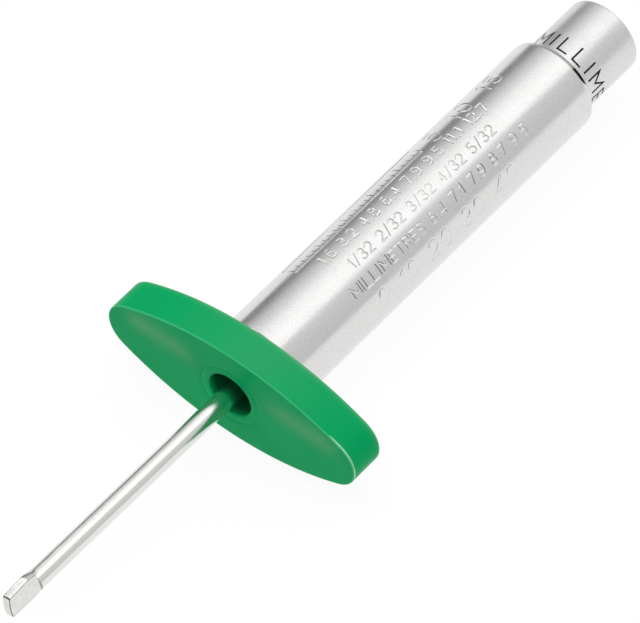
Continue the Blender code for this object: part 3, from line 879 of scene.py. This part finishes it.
def rod_points(section, height):
    """Points of a section in the row frame, with the rod's slight lean."""
    across, along = section[:, 0], section[:, 1]
    lean = (ROD_LEAN_FROM - height) * ROD_LEAN
    face_x, face_z = math.sin(BLADE_BEARING), math.cos(BLADE_BEARING)
    x = across * face_x + along * face_z + lean * math.sin(ROD_LEAN_BEARING)
    z = across * face_z - along * face_x + lean * math.cos(ROD_LEAN_BEARING)
    height = np.broadcast_to(height, x.shape)
    return np.stack([x, DATUM_Y + height, AXIS_Z + z], axis=-1)


def build_rod(material):
    """The steel rod, coined to a flat blade whose faces run out in a curved shoulder."""
    shoulder = ROD_TIP + BLADE_LENGTH
    side_shoulder = ROD_TIP + BLADE_SIDE_LENGTH

    def end_arch(section, rise):
        """Heights of the arched end under a section's points."""
        along = section[:, 1] - BLADE_END_OFFSET
        return ROD_TIP + rise + BLADE_END_RADIUS - np.sqrt(BLADE_END_RADIUS**2 - along**2)

    rings = []
    end = blade_ring(ROD_TIP)
    flat_end = blade_ring(ROD_TIP, BLADE_END_BEVEL)
    for share in np.linspace(END_START, 1.0, END_RINGS):
        section = flat_end * (share, 1.0)
        rings.append(rod_points(section, end_arch(section, 0.0)))
    edge = end_arch(end, BLADE_END_BEVEL)
    first_full = ROD_TIP + BLADE_HALF_WIDTH
    full = blade_ring(first_full)
    for share in np.linspace(0.0, 1.0, ARCH_RINGS, endpoint=False):
        height = edge + (first_full - edge) * share
        rise = (height - ROD_TIP) / (first_full - ROD_TIP)
        rings.append(rod_points(end + (full - end) * rise[:, None], height))
    heights = np.concatenate([
        np.linspace(first_full, shoulder - BLADE_RUN_OUT, FACE_RINGS, endpoint=False),
        shoulder - BLADE_RUN_OUT * np.cos(np.linspace(0.0, math.pi / 2, RUN_OUT_RINGS)),
        np.linspace(shoulder, side_shoulder + CREASE_MARGIN, SHOULDER_RINGS)[1:],
        np.linspace(side_shoulder + 2 * CREASE_MARGIN, ROD_TOP - SMALL_ROUND, ROUND_ROD_RINGS),
    ])
    rings += [rod_points(blade_ring(height), height) for height in heights]
    top_corner = (ROD_RADIUS - SMALL_ROUND, ROD_TOP - SMALL_ROUND)
    for radius, height in arc(top_corner, SMALL_ROUND, 0, 90)[1:]:
        rings.append(rod_points(blade_ring(height) * (radius / ROD_RADIUS), height))
    rod = ring_piece("blade_rod", rings, closed=False, sharp_degrees=24.0)

    height = np.array(rings)[:, :, 1] - DATUM_Y
    turn = np.linspace(0.0, math.tau, BLADE_COLUMNS, endpoint=False) - CREASE_TURN
    climb = fade(np.cos(2 * turn), *CREASE_TURN_RANGE)
    crease = shoulder + (side_shoulder - shoulder) * climb
    # Painted shade: a dark line in the crease, along the blade's corners and at the end's edge.
    edge_shade = CREASE_SHADE * fade(np.abs(height - crease), 2 * CREASE_HALF, CREASE_HALF / 2)
    corners = full[::BLADE_COLUMNS // 4]
    from_corner = np.linalg.norm(full[:, None] - corners, axis=2).min(axis=1)
    corner = fade(from_corner, CORNER_SHADE_WIDTH, 0.0) * fade(height, crease + CREASE_HALF, crease)
    edge_shade = np.maximum(edge_shade, corner)
    edge_shade[END_RINGS - 1:END_RINGS + 1] = 1.0
    paint(rod, "edge_shade", edge_shade)
    paint(rod, "coined", fade(height, crease, crease - 2 * CREASE_HALF))
    finish_piece(rod, material, "slider", "probe_steel", "probe_rod")


# -------- materials


def remap_node(tree, value, source, target):
    """A node that remaps a value from the source range to the target range."""
    node = tree.nodes.new("ShaderNodeMapRange")
    node.inputs["From Min"].default_value, node.inputs["From Max"].default_value = source
    node.inputs["To Min"].default_value, node.inputs["To Max"].default_value = target
    tree.links.new(value, node.inputs["Value"])
    return node


class Shader:
    """A Principled material with helpers for its procedural nodes."""

    def __init__(self, name, color, roughness, metallic=0.0):
        self.material = bpy.data.materials.new(name)
        self.material.use_nodes = True
        self.tree = self.material.node_tree
        self.surface = self.tree.nodes["Principled BSDF"]
        self.set("Base Color", (*color, 1.0))
        self.set("Roughness", roughness)
        self.set("Metallic", metallic)
        self.place = self.tree.nodes.new("ShaderNodeTexCoord").outputs["Object"]
        self.normal = None

    def set(self, socket, value):
        """Set one of the surface's inputs to a constant."""
        self.surface.inputs[socket].default_value = value

    def link(self, output, socket):
        """Link an output to one of the surface's inputs."""
        self.tree.links.new(output, self.surface.inputs[socket])

    def noise(self, scale, detail, stretch=(1.0, 1.0, 1.0)):
        """Noise over the piece, with a scale per metre and a stretch for each axis."""
        mapping = self.tree.nodes.new("ShaderNodeMapping")
        mapping.inputs["Scale"].default_value = stretch
        self.tree.links.new(self.place, mapping.inputs["Vector"])
        noise = self.tree.nodes.new("ShaderNodeTexNoise")
        noise.inputs["Scale"].default_value = scale
        noise.inputs["Detail"].default_value = detail
        self.tree.links.new(mapping.outputs["Vector"], noise.inputs["Vector"])
        return noise.outputs["Fac"]

    def painted(self, name):
        """A value painted on the piece's points."""
        node = self.tree.nodes.new("ShaderNodeAttribute")
        node.attribute_name = name
        return node.outputs["Fac"]

    def product(self, first, second):
        """The product of two values."""
        node = self.tree.nodes.new("ShaderNodeMath")
        node.operation = "MULTIPLY"
        self.tree.links.new(first, node.inputs[0])
        self.tree.links.new(second, node.inputs[1])
        return node.outputs["Value"]

    def remap(self, value, source, target):
        """The value, remapped from the source range to the target range."""
        return remap_node(self.tree, value, source, target).outputs["Result"]

    def vary_roughness(self, noise, smooth, rough):
        """Let the roughness follow a noise, from smooth to rough."""
        self.link(self.remap(noise, NOISE_RANGE, (smooth, rough)), "Roughness")

    def mix_colors(self, factor, first, second):
        """A colour that goes from first to second with the factor."""
        node = self.tree.nodes.new("ShaderNodeMix")
        node.data_type = "RGBA"
        self.tree.links.new(factor, node.inputs["Factor"])
        # Sockets 6, 7 and 2 are the node's colours. Its values and vectors have the same names.
        for socket, color in ((node.inputs[6], first), (node.inputs[7], second)):
            if isinstance(color, tuple):
                socket.default_value = (*color, 1.0)
            else:
                self.tree.links.new(color, socket)
        return node.outputs[2]

    def specked(self, color, spread):
        """The colour, lighter and darker by the spread in fine specks."""
        specks = self.remap(self.noise(SPECK_SCALE, detail=2.0), NOISE_RANGE, (0.0, 1.0))
        dark = tuple(level * (1.0 - spread) for level in color)
        light = tuple(level * (1.0 + spread) for level in color)
        return self.mix_colors(specks, dark, light)

    def bump(self, value, distance):
        """Add a bump of the value, distance metres high, over any earlier bump."""
        node = self.tree.nodes.new("ShaderNodeBump")
        node.inputs["Distance"].default_value = distance
        self.tree.links.new(value, node.inputs["Height"])
        if self.normal is not None:
            self.tree.links.new(self.normal, node.inputs["Normal"])
        self.normal = node.outputs["Normal"]
        self.link(self.normal, "Normal")


def polished_aluminium():
    """Drawn tube: long grain, fine specks, soft handling marks, and a painted dark reflection and
    shade on the lip.
    """
    shader = Shader("polished_aluminium", ALUMINIUM, roughness=0.2, metallic=1.0)
    shader.set("Specular IOR Level", 0.0)
    grain = shader.noise(4200.0, detail=3.0, stretch=(1.0, 0.03, 1.0))
    cloud = shader.noise(260.0, detail=3.0)
    # Painted dark reflection and shade on the lip: there the metal turns into a dark non-metal
    # colour.
    dark_reflection = shader.painted("dark_reflection")
    plain_metal = shader.specked(ALUMINIUM, spread=0.065)
    shader.link(shader.mix_colors(dark_reflection, plain_metal, LIP_DARK_REFLECTION), "Base Color")
    shader.link(shader.remap(dark_reflection, (0.0, 1.0), (1.0, 0.0)), "Metallic")
    shader.vary_roughness(cloud, smooth=0.17, rough=0.25)
    shader.bump(grain, distance=0.0025 * MM)
    return shader.material


def satin_aluminium():
    """Sleeve and cap: fine turned grain around them, and fine specks."""
    shader = Shader("satin_aluminium", ALUMINIUM, roughness=0.26, metallic=1.0)
    shader.link(shader.specked(ALUMINIUM, spread=0.085), "Base Color")
    grain = shader.noise(1400.0, detail=3.0, stretch=(0.05, 8.0, 0.05))
    cloud = shader.noise(320.0, detail=3.0)
    shader.vary_roughness(cloud, smooth=0.28, rough=0.38)
    shader.bump(grain, distance=0.002 * MM)
    return shader.material


def plated_steel():
    """Rod: bright zinc plate, satin where it was coined, and painted shade along the blade's edges
    and crease.
    """
    shader = Shader("plated_steel", BRIGHT_ZINC, roughness=0.14, metallic=1.0)
    grain = shader.noise(2500.0, detail=3.0, stretch=(1.0, 0.25, 1.0))
    cloud = shader.noise(500.0, detail=3.0)
    blotch = shader.remap(shader.noise(1300.0, detail=2.0), (0.35, 0.6), (0.2, 1.0))
    coined = shader.product(shader.painted("coined"), blotch)
    color = shader.mix_colors(coined, BRIGHT_ZINC, shader.specked(SATIN_ZINC, spread=0.08))
    shader.link(shader.mix_colors(shader.painted("edge_shade"), color, SHADED_ZINC), "Base Color")
    shader.vary_roughness(cloud, smooth=0.10, rough=0.2)
    shader.bump(grain, distance=0.003 * MM)
    return shader.material


def moulded_green():
    """Foot: semi-gloss plastic with soft flow marks, painted sheen patches, a painted highlight
    along its edge, a painted glint at one end and painted shade in the hole.
    """
    shader = Shader("moulded_green", PLAIN_GREEN, roughness=0.33)
    shader.set("Specular IOR Level", 0.035)
    flow = shader.noise(180.0, detail=2.0)
    skin = shader.noise(2600.0, detail=3.0)
    glint_breakup = shader.noise(900.0, detail=2.0)
    color = shader.mix_colors(shader.remap(flow, (0.35, 0.7), (0.0, 1.0)), DEEP_GREEN, PLAIN_GREEN)
    # Painted sheen patches, broken up by the flow noise.
    painted_sheen = shader.product(shader.painted("painted_sheen"), shader.remap(flow, (0.3, 0.6), (0.65, 1.0)))
    color = shader.mix_colors(painted_sheen, color, SHEEN_GREEN)
    # Painted highlight along the datum edge.
    color = shader.mix_colors(shader.painted("edge"), color, EDGE_HIGHLIGHT_GREEN)
    # Painted shade inside the hole.
    color = shader.mix_colors(shader.painted("bore"), color, BORE_SHADE_GREEN)
    # Painted glint at one end of the datum edge, broken up by noise.
    painted_glint = shader.product(shader.painted("painted_glint"), shader.remap(glint_breakup, (0.3, 0.5), (0.6, 1.0)))
    color = shader.mix_colors(painted_glint, color, GLINT_GREEN)
    shader.link(color, "Base Color")
    shader.vary_roughness(flow, smooth=0.28, rough=0.4)
    shader.bump(flow, distance=0.06 * MM)
    shader.bump(skin, distance=0.002 * MM)
    return shader.material


def print_ink():
    """Black screen-print ink, slightly uneven and rubbed grey in places."""
    shader = Shader("print_ink", INK, roughness=0.55)
    shader.set("Specular IOR Level", 0.2)
    cloud = shader.noise(2500.0, detail=2.0)
    color = shader.mix_colors(cloud, DARK_INK, LIGHT_INK)
    rubbed = shader.remap(shader.painted("rubbed"), (0.0, 1.0), (0.0, RUBBED_SHARE))
    shader.link(shader.mix_colors(rubbed, color, RUBBED_INK), "Base Color")
    shader.vary_roughness(cloud, smooth=0.4, rough=0.6)
    return shader.material


def plain_inner(name, tones, roughness, metallic=0.0):
    """A hidden piece's finish: two close tones in fine noise."""
    shader = Shader(name, tones[0], roughness, metallic)
    cloud = shader.noise(900.0, detail=3.0)
    shader.link(shader.mix_colors(cloud, *tones), "Base Color")
    shader.vary_roughness(cloud, roughness - INNER_VARIATION, roughness + INNER_VARIATION)
    shader.bump(cloud, distance=0.01 * MM)
    return shader.material


def dress_inner_nodes():
    """Give the CAD nodes inside the tube their finishes."""
    zinc = plain_inner("zinc_fastener", FASTENER_TONES, roughness=0.35, metallic=1.0)
    finishes = {
        "probe_carrier": plain_inner("natural_nylon", NYLON_TONES, roughness=0.5),
        "friction_ring": plain_inner("nitrile_rubber", RUBBER_TONES, roughness=0.7),
        "lock_washer": zinc,
        "lock_nut": zinc,
    }
    for node, material in finishes.items():
        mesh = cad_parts[node].data
        mesh.materials.clear()
        mesh.materials.append(material)


# -------- studio


def build_floor():
    """A plain pale floor under the gauge."""
    bpy.ops.mesh.primitive_plane_add(size=FLOOR_SIZE, location=(0.0, 0.0, 0.0))
    floor = bpy.context.object
    floor.name = "studio_floor"
    shader = Shader("pale_floor", FLOOR_GREY, roughness=0.8)
    shader.set("Specular IOR Level", 0.0)
    shader.set("Emission Color", (1.0, 1.0, 1.0, 1.0))
    shader.set("Emission Strength", FLOOR_GLOW)
    floor.data.materials.append(shader.material)


def build_world():
    """Soft surroundings, bright overhead, dim towards the blade, and white to the camera."""
    world = bpy.data.worlds.new("studio")
    bpy.context.scene.world = world
    world.use_nodes = True
    tree = world.node_tree
    nodes, links = tree.nodes, tree.links
    background = nodes["Background"]
    split = nodes.new("ShaderNodeSeparateXYZ")
    links.new(nodes.new("ShaderNodeTexCoord").outputs["Generated"], split.inputs["Vector"])
    bearing = nodes.new("ShaderNodeMath")
    bearing.operation = "ARCTAN2"
    links.new(split.outputs["X"], bearing.inputs[0])
    links.new(split.outputs["Z"], bearing.inputs[1])
    place = remap_node(tree, bearing.outputs["Value"], (-math.pi, math.pi), (0.0, 1.0))
    ramp = nodes.new("ShaderNodeValToRGB")
    links.new(place.outputs["Result"], ramp.inputs["Fac"])
    elements = ramp.color_ramp.elements
    while len(elements) < len(SKY_STOPS):
        elements.new(0.5)
    for element, (degrees, level) in zip(elements, SKY_STOPS):
        element.position = (degrees + 180.0) / 360.0
        element.color = (level, level, level, 1.0)
    links.new(ramp.outputs["Color"], background.inputs["Color"])
    dimming = remap_node(tree, split.outputs["Y"], SKY_DIM_RANGE, SKY_DIM_LEVELS)
    dimming.interpolation_type = "SMOOTHSTEP"
    links.new(dimming.outputs["Result"], background.inputs["Strength"])
    white = nodes.new("ShaderNodeBackground")
    white.inputs["Color"].default_value = (1.0, 1.0, 1.0, 1.0)
    chooser = nodes.new("ShaderNodeMixShader")
    path = nodes.new("ShaderNodeLightPath")
    links.new(path.outputs["Is Camera Ray"], chooser.inputs["Fac"])
    links.new(background.outputs["Background"], chooser.inputs[1])
    links.new(white.outputs["Background"], chooser.inputs[2])
    links.new(chooser.outputs["Shader"], nodes["World Output"].inputs["Surface"])


def add_softbox(name, place, target, width, height, energy):
    """A rectangular soft light facing a target, with its height across the tool's axis."""
    data = bpy.data.lights.new(name, "AREA")
    data.shape = "RECTANGLE"
    data.size = width
    data.size_y = height
    data.energy = energy
    light = bpy.data.objects.new(name, data)
    light.location = place
    away = (place - target).normalized()
    across = Vector((0.0, 1.0, 0.0)).cross(away).normalized()
    light.rotation_euler = Matrix((across.cross(away), across, away)).transposed().to_euler()
    light.visible_camera = False
    bpy.context.scene.collection.objects.link(light)
    return light


def build_lights():
    """A key softbox overhead, a side fill, and a card for the blade's narrow side."""
    for name, place, side, energy, reflected in SOFTBOXES:
        softbox = add_softbox(name, Vector(place), Vector(), side, side, energy)
        softbox.visible_glossy = reflected
    blade = Vector((0.0, DATUM_Y + ROD_TIP + BLADE_LENGTH / 2, AXIS_Z))
    place = blade + Vector(CARD_PLACE)
    card = add_softbox("blade_card", place, blade, CARD_WIDTH, CARD_HEIGHT, CARD_ENERGY)
    card.visible_diffuse = False


def build_camera():
    """The camera, aimed near the foot from in front, above and to the right."""
    back = Vector((
        math.sin(VIEW_AZIMUTH) * math.cos(VIEW_ELEVATION),
        -math.cos(VIEW_AZIMUTH) * math.cos(VIEW_ELEVATION),
        math.sin(VIEW_ELEVATION),
    ))
    level = (-back).cross(Vector((0.0, 0.0, 1.0))).normalized()
    rise = level.cross(-back)
    right = level * math.cos(VIEW_ROLL) + rise * math.sin(VIEW_ROLL)
    up = rise * math.cos(VIEW_ROLL) - level * math.sin(VIEW_ROLL)
    aim = Vector((0.0, DATUM_Y, AXIS_Z)) + right * AIM_RIGHT + up * AIM_UP
    data = bpy.data.cameras.new("camera")
    data.lens = LENS_MM
    data.sensor_width = SENSOR_MM
    data.clip_start = CLIP_START
    camera = bpy.data.objects.new("camera", data)
    camera.matrix_world = Matrix((right, up, back)).transposed().to_4x4()
    camera.location = aim + back * VIEW_DISTANCE
    bpy.context.scene.collection.objects.link(camera)
    bpy.context.scene.camera = camera
    bpy.context.scene.view_settings.view_transform = "Standard"


def main():
    """Build the pieces around the frame, then the studio."""
    aluminium = polished_aluminium()
    satin = satin_aluminium()
    build_tube(aluminium)
    build_foot(moulded_green())
    build_sleeve(satin)
    build_end_cap(satin)
    build_print(print_ink())
    build_rod(plated_steel())
    dress_inner_nodes()
    build_floor()
    build_world()
    build_lights()
    build_camera()


main()
